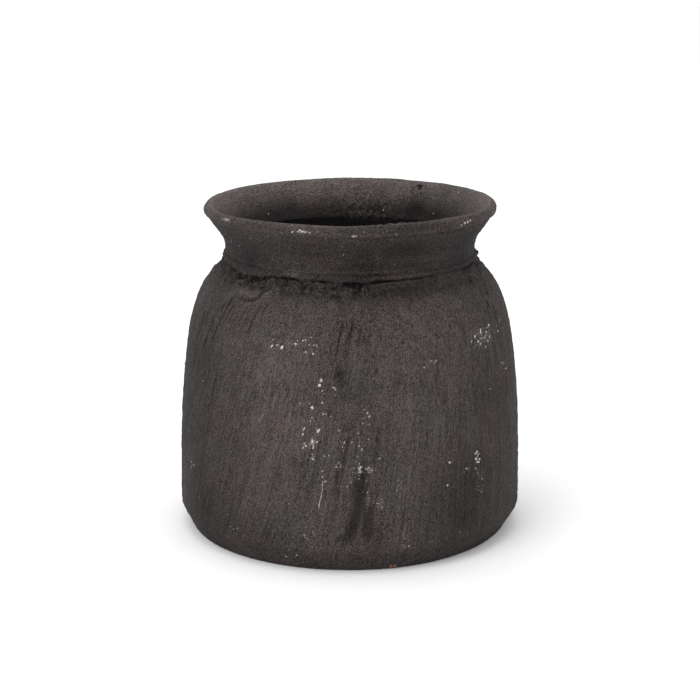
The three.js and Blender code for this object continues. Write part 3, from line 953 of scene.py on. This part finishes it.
# Pale chips on the front: how far each is across, its height, its width and its depth, in
# millimetres
CHIPS = [
    # Under the shoulder, left of the middle
    (-42.5, 125.5, 1.2, 2.2), (-42, 129, 0.8, 0.7), (-39.5, 126.5, 1.2, 0.9),
    (-37, 125.5, 1.7, 2.2), (-41, 124.5, 0.6, 0.6), (-29.5, 128, 1.8, 1.1), (-28.5, 130, 0.9, 0.8),
    (-25.5, 130, 1.1, 0.8), (-24, 130.5, 0.7, 1.2), (-21, 132, 0.9, 0.8), (-22, 128, 1.1, 0.6),
    (-19.5, 128, 0.8, 0.8), (-18, 128, 0.7, 1.1), (-24, 124, 0.8, 1.1), (-20, 123.5, 1.2, 1.2),
    # Running down the middle
    (-15.5, 109.5, 1.6, 2.1), (-16.5, 107, 1.7, 1.6), (-15, 104, 0.7, 1.1), (-9, 106, 1.6, 0.7),
    (-8, 105, 0.8, 1.1), (-8, 102, 0.7, 0.5), (-27, 96.5, 0.9, 0.7), (-22, 96.5, 0.8, 0.6),
    (-20.5, 94.5, 1.6, 1.7), (-15, 97.5, 0.8, 1.1), (-14.5, 91.5, 0.8, 1.6), (-13, 91.5, 0.8, 0.8),
    (-10.5, 90, 0.7, 0.7), (-20.5, 89, 0.9, 1), (-21.5, 87, 0.7, 1.4), (-25, 82.5, 1.1, 2.2),
    (-25.5, 79.5, 1.2, 1.3), (-17, 82, 1.4, 2.6), (-20.5, 76, 1.2, 2.2), (-20, 72.5, 0.9, 1.8),
    (-18, 75.5, 1.1, 1.4), (-25, 74.3, 1, 1.1), (-24, 73, 1.1, 1), (-25.5, 72, 0.9, 1),
    (-20, 66, 1.2, 1.2), (-20.5, 68.5, 0.8, 0.9), (-14, 73, 0.8, 0.5), (-14, 68, 1.1, 0.8),
    (-11.5, 68.5, 1.1, 0.8), (-15, 59.5, 1.1, 0.7), (-15, 56, 0.8, 1.1), (-13.5, 53.5, 0.8, 1.3),
    (-6.5, 93.5, 0.6, 0.5), (7.5, 94, 1, 0.6), (9.5, 92, 1.3, 0.9), (10.5, 90, 0.9, 1.3),
    (7, 89, 0.6, 0.6), (7, 86.5, 0.9, 1.4), (10.5, 86, 0.7, 0.9), (-6, 82.5, 0.8, 1.1),
    (-2, 80.5, 0.6, 0.6), (4.5, 81, 1, 0.5), (10, 77.5, 0.8, 0.8), (-3, 76, 0.8, 1.9),
    (1, 76, 0.8, 1.1), (5, 76, 0.8, 0.7), (5, 74, 0.6, 1.6), (-4, 73.5, 0.5, 1),
    (6.5, 72, 0.6, 1.6), (-3.5, 71, 0.5, 0.5), (4, 68, 0.8, 0.8), (3, 65, 0.6, 0.6),
    (-6, 64.5, 0.9, 1.4), (-7.5, 62, 0.9, 1.1), (-5, 62.5, 0.7, 1.2), (-6.5, 60.5, 0.5, 0.5),
    (2, 61.5, 1.2, 0.8), (6, 62, 1.5, 1.2), (5, 59.5, 0.8, 1.8), (8.5, 61, 0.6, 1.2),
    (10.5, 61.5, 1.2, 0.8), (12, 60, 0.8, 1.4), (14, 60, 0.8, 0.8), (2.5, 59, 0.5, 0.5),
    (5, 55.5, 1, 0.7), (9, 54.5, 0.7, 0.7), (0.5, 53.5, 0.7, 1.2), (-1.5, 51, 1, 0.8),
    (16, 66.5, 1.1, 0.8), (20, 63, 0.5, 1),
    # Low in the middle and to the right
    (26.5, 53.5, 0.9, 0.8), (26.5, 50.5, 0.8, 0.8), (26, 48, 0.8, 0.8), (17.5, 43.5, 0.6, 0.6),
    (15, 41, 0.8, 0.8), (16, 39, 1, 0.5), (17.5, 39, 0.5, 1), (13, 42.5, 0.5, 1.1),
    (9.5, 47.5, 0.7, 1.4), (30, 14.5, 1, 0.8), (32.5, 15, 1.2, 0.8), (29.5, 22.5, 0.5, 0.5),
    (30.5, 20, 0.5, 0.5), (55, 59.5, 1.6, 1.4), (65, 53.5, 1.5, 1.1), (66.5, 52.5, 0.7, 0.5),
    (54, 46.5, 1.5, 1.3), (70.5, 52, 0.9, 0.8), (72, 49, 0.6, 1), (74.5, 44.5, 1.2, 0.8),
    (72.5, 41, 0.6, 0.5), (74, 40.5, 0.6, 0.5), (72.5, 38.5, 0.6, 0.5), (74, 37.5, 0.8, 0.6),
    (61.5, 17.5, 0.9, 0.7), (-35.5, 7, 1.9, 0.8), (-33.5, 12.5, 0.7, 0.5), (-67, 19, 0.9, 0.7),
    (-24, 27, 0.7, 0.7), (-25, 22, 0.9, 1), (-23.5, 20.5, 0.6, 0.6), (-20.5, 24, 0.5, 0.9),
    (-20, 22, 0.6, 0.5), (-29.5, 9, 1, 0.7), (-27.5, 8.5, 0.5, 0.5), (-69, 26, 0.6, 0.5),
    # Under the shoulder, on the right
    (69.5, 125.5, 1.3, 1.7), (67.5, 123.5, 0.6, 1.6), (71.5, 122.5, 1.9, 1.1),
    (73, 127.5, 1.5, 2.7), (73, 121, 1.1, 1.7), (73.5, 123.5, 1.2, 0.8), (75.5, 123, 1.1, 1),
    (76.5, 126, 1.5, 1.2), (78, 129, 1.9, 1.1), (77, 128, 1, 0.8), (77.5, 121, 1.2, 1.3),
    (78.5, 123, 1.4, 1.4), (76, 118.5, 0.9, 1), (70, 120, 0.7, 0.5), (72, 120, 0.7, 0.5),
    (84, 123.5, 1.3, 1.3), (85, 128.5, 1.2, 0.6), (44.5, 117.5, 1.5, 0.6), (47, 117, 0.8, 1),
    (46, 116, 0.7, 0.5), (40.5, 114.5, 1.5, 0.7), (86.5, 105.5, 1.5, 0.8), (87.5, 104.5, 1.4, 0.8),
    (89, 101, 1.6, 1), (78.5, 94.5, 1.5, 0.6),
    # On the far left, on the shoulder, and on the collar and the lip
    (-91.5, 46, 1.5, 1), (-90, 45, 1, 0.8), (-92, 42.5, 1.2, 0.6), (-47.5, 154.5, 1.2, 1),
    (-31, 187.5, 1.1, 1), (-27, 188.5, 1.2, 0.9), (-25.5, 188, 1.4, 1), (-24, 187.5, 1.2, 0.8),
    (-21.5, 187.5, 1.2, 0.7), (-17.5, 188, 0.7, 0.6), (-13, 184.5, 0.8, 0.6), (1.5, 186, 1.2, 0.6),
    (3.5, 186.2, 1.2, 0.5), (7.5, 188, 0.7, 0.6), (25, 186.5, 0.8, 0.6), (61, 187.2, 1.4, 0.9),
    (63, 187.9, 1.5, 1.6), (64.6, 188.1, 1.5, 1.7), (66.2, 188.5, 1.6, 1.5), (80.5, 188, 1.4, 0.9),
    (-67, 173.5, 1, 0.6), (-62, 173, 0.9, 1), (-57.5, 183, 0.6, 0.5), (-54.5, 180.5, 0.6, 0.5),
    (-49.5, 180.5, 0.6, 0.5), (-45, 183.5, 0.5, 0.5), (-39.5, 185, 0.5, 0.5),
    (-68.5, 189, 1.4, 0.7), (-67.5, 189.5, 1, 0.7),
    # A wriggling scratch on the right
    (71, 61.5, 2, 1.5), (70.2, 60.6, 1.7, 1), (71.9, 59.8, 2, 1.2), (71.4, 58.8, 1.5, 1),
    (70.5, 57.6, 2.1, 1.6), (72.5, 56.8, 2, 1.5), (72, 55.2, 2.3, 1.1), (71, 55.8, 1.6, 1.1),
]
# A long scratch: how far across and how high it is at each of its bends
SCRATCH = [(-14.9, 53.5), (-15.2, 48.5), (-15.8, 45), (-16.8, 41), (-17, 38)]
# Chips inside the collar: angle in degrees, height, width and depth in millimetres
INSIDE_CHIPS = [
    (162.5, 174, 0.8, 1.1), (133, 175, 0.9, 0.8), (-134, 174.7, 1.1, 0.9), (171, 181.5, 0.9, 0.6),
    (148, 185, 0.6, 0.5), (123, 188.4, 0.7, 1),
]
LOOSE_CHIPS = 110
BACK_GROUPS = 20
SCRATCH_CHIPS = 26
# How many corners a chip has, how much larger than in the tables it is drawn, to make up for
# the edge that is let in, and how far it stands out
CHIP_CORNERS = 9
CHIP_SPREAD = 1.15
CHIP_RISE = 0.12 * MM
# Its middle, an inner ring that stands proud and an outer ring that is let in: how far out
# each is, as a share of the chip, and how far up, as a share of the rise
CHIP_RINGS = ((0, 1.1), (0.64, 0.9), (1, -0.6))
# How far from the middle of its cell in the bake layout a chip or a lump may reach
CELL_FILL = 0.45


def scattered_chips(random):
    """Groups of chips on the sides and back, and a few loose specks everywhere."""
    chips = []
    for _ in range(BACK_GROUPS):
        turn, middle = random.uniform(95, 265), random.uniform(16, 140)
        half_width, half_height = random.uniform(1, 8), random.uniform(2, 11)
        largest = random.uniform(1, 2.6)
        for _ in range(random.integers(4, 18)):
            across, up = random.normal(0, 0.6, 2)
            angle = math.radians(turn) + across * half_width * MM / BODY_RADIUS
            wide = largest * random.uniform(0.25, 0.8)
            chips.append((angle, middle + up * half_height, wide, wide * random.uniform(0.7, 1.9)))
    for _ in range(LOOSE_CHIPS):
        angle, height = random.uniform(-math.pi, math.pi), random.uniform(8, 185)
        wide = random.uniform(0.3, 0.6)
        chips.append((angle, height, wide, wide * random.uniform(0.8, 1.3)))
    return chips


def scratch_chips(random):
    across, height = np.array(SCRATCH).T
    chips = []
    for share in np.linspace(0, len(SCRATCH) - 1, SCRATCH_CHIPS):
        here = np.interp(share, range(len(SCRATCH)), across) + random.normal(0, 0.06)
        tall = np.interp(share, range(len(SCRATCH)), height)
        chips.append((here, tall, random.uniform(0.3, 0.75), random.uniform(0.8, 1.2)))
    return chips


def chip_table(random):
    """Every chip: its angle, height, half width, half depth and side, in metres."""
    # One small speck near each chip
    specks = []
    for across, height, _, _ in CHIPS:
        aside, up = random.normal(0, 1.1, 2)
        size = random.uniform(0.3, 0.5)
        specks.append((across + aside, height + up, size, size * random.uniform(0.8, 1.4)))
    rows = [
        (front_angle(across, height), height, wide, tall, 0)
        for across, height, wide, tall in CHIPS + specks + scratch_chips(random)
    ]
    rows += [(*chip, 0) for chip in scattered_chips(random)]
    rows += [(math.radians(turn), *chip, 1) for turn, *chip in INSIDE_CHIPS]
    half = CHIP_SPREAD * MM / 2
    return np.array(rows) * [1, MM, half, half, 1]


def pale_chips(material):
    """Small flakes of pale clay that show where the coat has come away."""
    random = np.random.default_rng(7)
    angle, height, half_width, half_height, side = chip_table(random)[:, :, None].swapaxes(0, 1)
    count = len(angle)
    ring = np.linspace(0, 2 * math.pi, CHIP_CORNERS, endpoint=False)
    reach = random.uniform(0.6, 1.3, (count, CHIP_CORNERS))
    right, up = reach * np.cos(ring), reach * np.sin(ring)
    across = right * half_width + up * half_height * random.uniform(-0.15, 0.5, (count, 1))
    climb = up * half_height
    points, flat = [], []
    for share, lift in CHIP_RINGS:
        columns = slice(None) if share else slice(1)
        here = angle + share * across[:, columns] / BODY_RADIUS
        tall = height + share * climb[:, columns]
        points.append(on_clay(here, tall, side, lift * CHIP_RISE))
        flat.append(share * np.stack([right[:, columns], up[:, columns]], axis=-1))
    inner = 1 + np.arange(CHIP_CORNERS)
    outer = inner + CHIP_CORNERS
    faces = np.vstack([
        np.column_stack([np.zeros_like(inner), inner, np.roll(inner, -1)]),
        np.column_stack([inner, outer, np.roll(outer, -1)]),
        np.column_stack([inner, np.roll(outer, -1), np.roll(inner, -1)]),
    ])
    # The larger a chip is, the paler it looks; low down, just right of the middle, all are dull
    size = np.sqrt(half_width * half_height) / MM
    shade = np.clip(0.25 + 0.55 * size + random.normal(0, 0.12, (count, 1)), 0, 1)
    shade *= 1 - 0.4 * fade(angle, -0.12, 0) * fade(angle, 0.5, 0.4) * fade_mm(height, 76, 58)
    return small_items(
        "pale_chips", np.concatenate(points, axis=1), faces, np.concatenate(flat, axis=1), 1.4,
        {"shade": shade}, material)


def small_items(name, points, faces, flat, widest, marks, material):
    """One mesh of many small items that share their faces. `flat` and `widest` lay each item
    out flat, and `marks` holds one value for each item."""
    count, per_item = points.shape[:2]
    faces = (faces + per_item * np.arange(count)[:, None, None]).reshape(-1, 3)
    mesh = bpy.data.meshes.new(name)
    fill_mesh(mesh, points.reshape(-1, 3), faces)
    for attribute, values in marks.items():
        add_attribute(mesh, attribute, np.repeat(values, per_item))
    # Bake layout: each item lies in its own cell of a square grid
    side = math.ceil(math.sqrt(count))
    item = np.repeat(np.arange(count), per_item)
    corner = np.column_stack([item % side, item // side])
    place = (corner + 0.5 + CELL_FILL * np.clip(flat.reshape(-1, 2) / widest, -1, 1)) / side
    set_bake_layout(mesh, place[faces.ravel()])
    mesh.shade_smooth()
    return finish_piece(mesh, material)


# Lumps with a place of their own: angle in degrees, height, size in millimetres, side
LUMPS = [
    (86, 162, 1, 0), (89, 160.4, 0.8, 0), (-86, 163.4, 0.8, 0), (-89, 162.6, 0.6, 0),
    (-90, 160.2, 0.7, 0), (-84, 159.4, 0.8, 0), (-28, 187.5, 0.4, 0), (147.5, 189.3, 0.9, 1),
    (143.6, 189, 0.8, 1), (-24, 190.8, 0.6, 0), (-21, 190.9, 0.5, 0), (-15.5, 191, 0.5, 0),
    (-19, 190.9, 0.4, 0), (-155, 190.7, 0.8, 1), (-157, 190.6, 0.7, 1), (-153, 190.5, 0.6, 1),
    (-162, 178.8, 0.6, 1), (-165, 178.2, 0.7, 1), (-160, 182.6, 0.5, 1), (-164, 182, 0.5, 1),
    (176, 186, 0.5, 1), (-130, 180, 0.9, 1), (-131, 178.6, 0.6, 1),
]
SEAM_CRUMBS = 900
SKIRT_CRUMBS = 420
GRAINS = 5200
# How knobbly a lump is, as a share of its size
KNOBBLY = 0.34


def crumb_table(random):
    """The larger crumbs: angle, height, size and side."""
    rows = [(math.radians(a), h * MM, s * MM, side) for a, h, s, side in LUMPS]
    for _ in range(SEAM_CRUMBS):
        angle = random.uniform(-math.pi, math.pi)
        torn = along_turn(angle, CRUMBLY)
        height = along_turn(angle, GROOVE_HEIGHT) - 1.4 + random.normal(0, 0.7 + torn)
        size = (0.3 + 0.5 * torn) * random.uniform(0.3, 1.1) ** 1.4
        rows.append((angle, height * MM, size * MM, 0))
    for _ in range(SKIRT_CRUMBS):
        height = 156 - abs(random.normal(0, 4))
        size = random.uniform(0.2, 0.6) ** 1.2
        rows.append((random.uniform(-math.pi, math.pi), height * MM, size * MM, 0))
    return np.array(rows)


def grain_table(random):
    """Sand grains all over the outside: angle, height, size and side."""
    angle = random.uniform(-math.pi, math.pi, GRAINS)
    height = random.uniform(3, 190, GRAINS) * MM
    size = random.uniform(0.14, 0.36, GRAINS) * MM
    return np.column_stack([angle, height, size, np.zeros(GRAINS)])


def lumps(name, table, random, fineness, palest, material):
    """Irregular lumps of clay half sunk in the surface, one for each row of the table."""
    ball = bmesh.new()
    bmesh.ops.create_icosphere(ball, subdivisions=fineness, radius=1)
    shape = np.array([v.co for v in ball.verts])
    faces = np.array([[v.index for v in f.verts] for f in ball.faces])
    ball.free()
    count = len(table)
    angle, height, size, side = table.T
    centre = on_clay(angle, height, side, 0.1 * size)
    squeeze = random.uniform(0.55, 1.15, (count, 1, 3))
    jitter = random.uniform(-1, 1, (count, 1, 3)) * 50
    knobbly = 1 + KNOBBLY * noise(shape[None] * 1.1 + jitter, 0.9, 3)
    points = shape[None] * squeeze * knobbly[..., None] * size[:, None, None] + centre[:, None]
    # Each lump takes the lightness painted on the surface under it, painted shade and highlight
    # included
    lighter, redder, _ = painted(angle, height, side)
    shade = 1 + lighter + random.uniform(-0.6, palest, count)
    flat = np.tile(shape[:, :2], (count, 1))
    marks = {"shade": shade, "redder": redder}
    return small_items(name, points, faces, flat, 1.3, marks, material)


# The orange-brown chip at the foot in front, and worn places like it at the back: angle in
# degrees, height and half sizes in millimetres
FOOT_CHIPS = [
    (14.5, 1.8, 2.2, 1.3), (96, 1.2, 1.2, 0.5), (141, 1.4, 1.8, 0.7), (-160, 1.3, 1.4, 0.6),
    (-118, 1.2, 0.9, 0.4),
]


def foot_chips(material):
    """The orange-brown clay body, bare where the edge of the foot was knocked."""
    random = np.random.default_rng(23)
    rows = []
    for turn, middle, half_width, half_height in FOOT_CHIPS:
        for _ in range(round(5 + 9 * half_width)):
            across, up = random.uniform(-1, 1, 2)
            angle = math.radians(turn) + across * half_width * MM / FOOT_RADIUS
            height = max(middle + up * half_height * (1 - across ** 2), 0.5) * MM
            rows.append((angle, height, random.uniform(0.25, 0.5) * MM, 0))
    return lumps("foot_chips", np.array(rows), random, 1, 0.3, material)


# --- Materials ---

class Shader:
    """A material's node tree, with short calls for the nodes used here."""

    def __init__(self, name):
        self.material = bpy.data.materials.new(name)
        self.material.use_nodes = True
        self.tree = self.material.node_tree
        self.surface = self.tree.nodes["Principled BSDF"]

    def node(self, kind, inputs, **settings):
        made = self.tree.nodes.new(kind)
        for key, value in settings.items():
            setattr(made, key, value)
        return self.fill(made, inputs)

    def fill(self, node, inputs):
        for key, value in inputs.items():
            if isinstance(value, bpy.types.NodeSocket):
                self.tree.links.new(value, node.inputs[key])
            else:
                node.inputs[key].default_value = value
        return node

    def place(self):
        return self.node("ShaderNodeTexCoord", {}).outputs["Object"]

    def attribute(self, name, output="Fac"):
        return self.node("ShaderNodeAttribute", {}, attribute_name=name).outputs[output]

    def noise(self, vector, size_mm, detail=2.0, roughness=0.6):
        inputs = {"Vector": vector, "Scale": 1 / (size_mm * MM), "Detail": detail,
                  "Roughness": roughness}
        return self.node("ShaderNodeTexNoise", inputs).outputs["Fac"]

    def math(self, operation, a, b=0.0, c=0.0):
        inputs = {0: a, 1: b, 2: c}
        return self.node("ShaderNodeMath", inputs, operation=operation).outputs[0]

    def remap(self, value, low, high, to_low=0.0, to_high=1.0):
        inputs = {"Value": value, "From Min": low, "From Max": high,
                  "To Min": to_low, "To Max": to_high}
        return self.node("ShaderNodeMapRange", inputs, clamp=True).outputs["Result"]

    def mix(self, share, a, b):
        inputs = {0: share, 6: a, 7: b}
        return self.node("ShaderNodeMix", inputs, data_type="RGBA").outputs[2]

    def scale(self, colour, factor):
        inputs = {0: colour, "Scale": factor}
        return self.node("ShaderNodeVectorMath", inputs, operation="SCALE").outputs[0]

    def finish(self, colour, roughness, height=None, depth=0.0):
        inputs = {"Base Color": colour, "Roughness": roughness, "Specular IOR Level": SPECULAR}
        if height is not None:
            raised = self.node("ShaderNodeBump", {"Height": height, "Distance": depth})
            inputs["Normal"] = raised.outputs["Normal"]
        self.fill(self.surface, inputs)
        return self.material


def rgb(red, green, blue):
    return (red, green, blue, 1)


ASH_BLACK = rgb(0.0475, 0.0419, 0.0405)
BROWN_BLACK = rgb(0.0532, 0.0425, 0.0399)
DUST = rgb(0.30, 0.27, 0.245)
SOOT = rgb(0.012, 0.010, 0.010)
# Matte clay throws back little light like a mirror
SPECULAR = 0.12


def clay_material(name, brightness, streaky, grainy, roughness):
    """Fired clay under a matte, brushed earth coat, with pale dust where it is rubbed."""
    s = Shader(name)
    place = s.place()
    streaks = s.attribute("streaks", "Vector")
    # Noises from the finest grain to the broadest drift, with their sizes in millimetres
    grain = s.noise(place, 0.5, 2.0, 0.7)
    sand = s.noise(place, 1.2, 1.0)
    dash = s.noise(s.attribute("dashes", "Vector"), 0.9, 1.0)
    streak = s.noise(streaks, 1.6, 2.0)
    bristle = s.noise(streaks, 0.85, 1.0)
    broad = s.noise(streaks, 6, 1.0)
    blotch = s.noise(place, 11, 3.0)
    drift = s.noise(place, 26, 2.0)

    mottle = 1.0
    for value, strength in (
        (grain, s.math("MULTIPLY", s.attribute("graininess"), 6.0 * grainy)),
        (sand, 0.4 * grainy), (dash, 1.4 * grainy), (streak, 1.1 * streaky),
        (broad, 0.5 * streaky), (blotch, 0.6),
        (bristle, s.math("MULTIPLY", s.attribute("bristles"), 2.0)),
    ):
        mottle = s.math("MULTIPLY_ADD", s.math("SUBTRACT", value, 0.5), strength, mottle)
    # Small pits: the bump sinks them and they are painted dark, as painted shade in them
    shaded_pit = s.remap(s.noise(place, 2.3, 0.0), 0.77, 0.82)
    mottle = s.math("MAXIMUM", s.math("MULTIPLY_ADD", shaded_pit, -0.45, mottle), 0.25)
    # The painted lightness: the coat's own patches, with painted shade and painted highlight
    light = s.math("MAXIMUM", s.math("ADD", 1.0, s.attribute("lighter")), 0.12)
    light = s.math("MULTIPLY", light, mottle)
    # Some of it is browner, some ashier
    red_share = s.math("ADD", s.remap(drift, 0.34, 0.66), s.attribute("redder"))
    hue = s.mix(s.remap(red_share, 0.0, 1.0), ASH_BLACK, BROWN_BLACK)
    coat = s.scale(hue, s.math("MULTIPLY", light, brightness))

    # Pale dust in specks, most where the coat is rubbed
    dust = s.math("MULTIPLY_ADD", s.attribute("rubbed"), 0.55, s.noise(place, 0.8, 1.0))
    rubbed = s.remap(dust, 0.74, 0.92)
    colour = s.mix(rubbed, coat, DUST)

    rough = s.remap(sand, 0.3, 0.7, roughness - 0.08, roughness + 0.08)
    height = s.math("MULTIPLY_ADD", grain, 0.8, s.math("MULTIPLY", dash, 0.6))
    height = s.math("MULTIPLY_ADD", sand, 0.9, height)
    height = s.math("MULTIPLY_ADD", shaded_pit, -0.8, height)
    return s.finish(colour, rough, height, 0.35 * MM)


def lump_material(name, dark, pale, roughness):
    """Clay in small lumps, each with a shade of its own."""
    s = Shader(name)
    fleck = s.noise(s.place(), 0.6)
    share = s.math("MULTIPLY_ADD", s.math("SUBTRACT", fleck, 0.5), 0.8, s.attribute("shade"))
    colour = s.mix(s.remap(share, 0.0, 1.0), dark, pale)
    return s.finish(colour, roughness, fleck, 0.1 * MM)


def floor_material():
    s = Shader("studio_floor")
    paper = s.noise(s.place(), 30)
    colour = s.mix(paper, rgb(0.89, 0.89, 0.89), rgb(0.91, 0.91, 0.91))
    return s.finish(colour, 0.9)


# --- Studio ---

SENSOR_WIDTH_MM = 36
LENS_MM = 99.3
CAMERA_DISTANCE = 1.1
CAMERA_HEIGHT = 0.3862
CAMERA_PITCH = math.radians(14.47)
FLOOR_HALF = 12.0
SKY_STRENGTH = 1.1
# Each soft box: its place, its width and its watts
SOFT_BOXES = {"key": ((-0.9, -1.1, 1.5), 1.0, 9), "top": ((-0.2, 0.2, 1.7), 1.2, 7)}


def camera():
    """A long lens, a little over a metre away and looking slightly down on the pot."""
    data = bpy.data.cameras.new("camera")
    data.sensor_width = SENSOR_WIDTH_MM
    data.lens = LENS_MM
    view = bpy.data.objects.new("camera", data)
    view.location = (0, -CAMERA_DISTANCE, CAMERA_HEIGHT)
    view.rotation_euler = (math.pi / 2 - CAMERA_PITCH, 0, 0)
    bpy.context.scene.collection.objects.link(view)
    bpy.context.scene.camera = view


def studio_floor():
    mesh = bpy.data.meshes.new("studio_floor")
    corners = FLOOR_HALF * np.array([(-1, -1, 0), (1, -1, 0), (1, 1, 0), (-1, 1, 0)])
    fill_mesh(mesh, corners, np.array([[0, 1, 2, 3]]))
    finish_piece(mesh, floor_material())


def soft_light(name, where, size, watts):
    """A square soft box aimed at the middle of the pot."""
    data = bpy.data.lights.new(name, "AREA")
    data.shape = "SQUARE"
    data.size = size
    data.energy = watts
    lamp = bpy.data.objects.new(name, data)
    lamp.location = where
    aim = Vector((0, 0, HEIGHT / 2)) - lamp.location
    lamp.rotation_euler = aim.to_track_quat("-Z", "Y").to_euler()
    bpy.context.scene.collection.objects.link(lamp)


def studio():
    scene = bpy.context.scene
    scene.view_settings.view_transform = "Standard"
    world = bpy.data.worlds.new("studio")
    world.use_nodes = True
    background = world.node_tree.nodes["Background"]
    background.inputs["Color"].default_value = rgb(1, 1, 1)
    background.inputs["Strength"].default_value = SKY_STRENGTH
    scene.world = world
    for name, (where, size, watts) in SOFT_BOXES.items():
        soft_light(name, where, size, watts)


# --- The pot ---

def build_pot():
    clays = {
        "brushed_coat": clay_material("brushed_coat", 1.0, 1.0, 1.0, 0.84),
        "wiped_coat": clay_material("wiped_coat", 1.0, 0.35, 1.25, 0.8),
        "luting_clay": clay_material("luting_clay", 0.6, 0.2, 1.0, 0.92),
    }
    for name, (clay, slot, parts) in PIECES.items():
        piece = clay_ring(name + "_clay", parts, clays[clay], clay == "wiped_coat")
        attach(piece, BODY)
        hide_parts(name)

    pale = lump_material("pale_chip", rgb(0.09, 0.08, 0.07), rgb(0.54, 0.505, 0.46), 0.9)
    crumb = lump_material("clay_crumb", SOOT, rgb(0.060, 0.050, 0.047), 0.9)
    grain = lump_material("sand_grain", SOOT, rgb(0.080, 0.068, 0.063), 0.8)
    bare = lump_material("bare_clay", rgb(0.10, 0.045, 0.025), rgb(0.36, 0.17, 0.10), 0.9)
    random = np.random.default_rng(19)
    details = (
        (pale_chips(pale), "coated_clay"),
        (lumps("clay_crumbs", crumb_table(random), random, 2, 0.2, crumb), "luting_clay"),
        (lumps("sand_grains", grain_table(random), random, 1, 0.5, grain), "coated_clay"),
        (foot_chips(bare), "coated_clay"),
    )
    for piece, slot in details:
        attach(piece, BODY)


camera()
studio()
studio_floor()
build_pot()
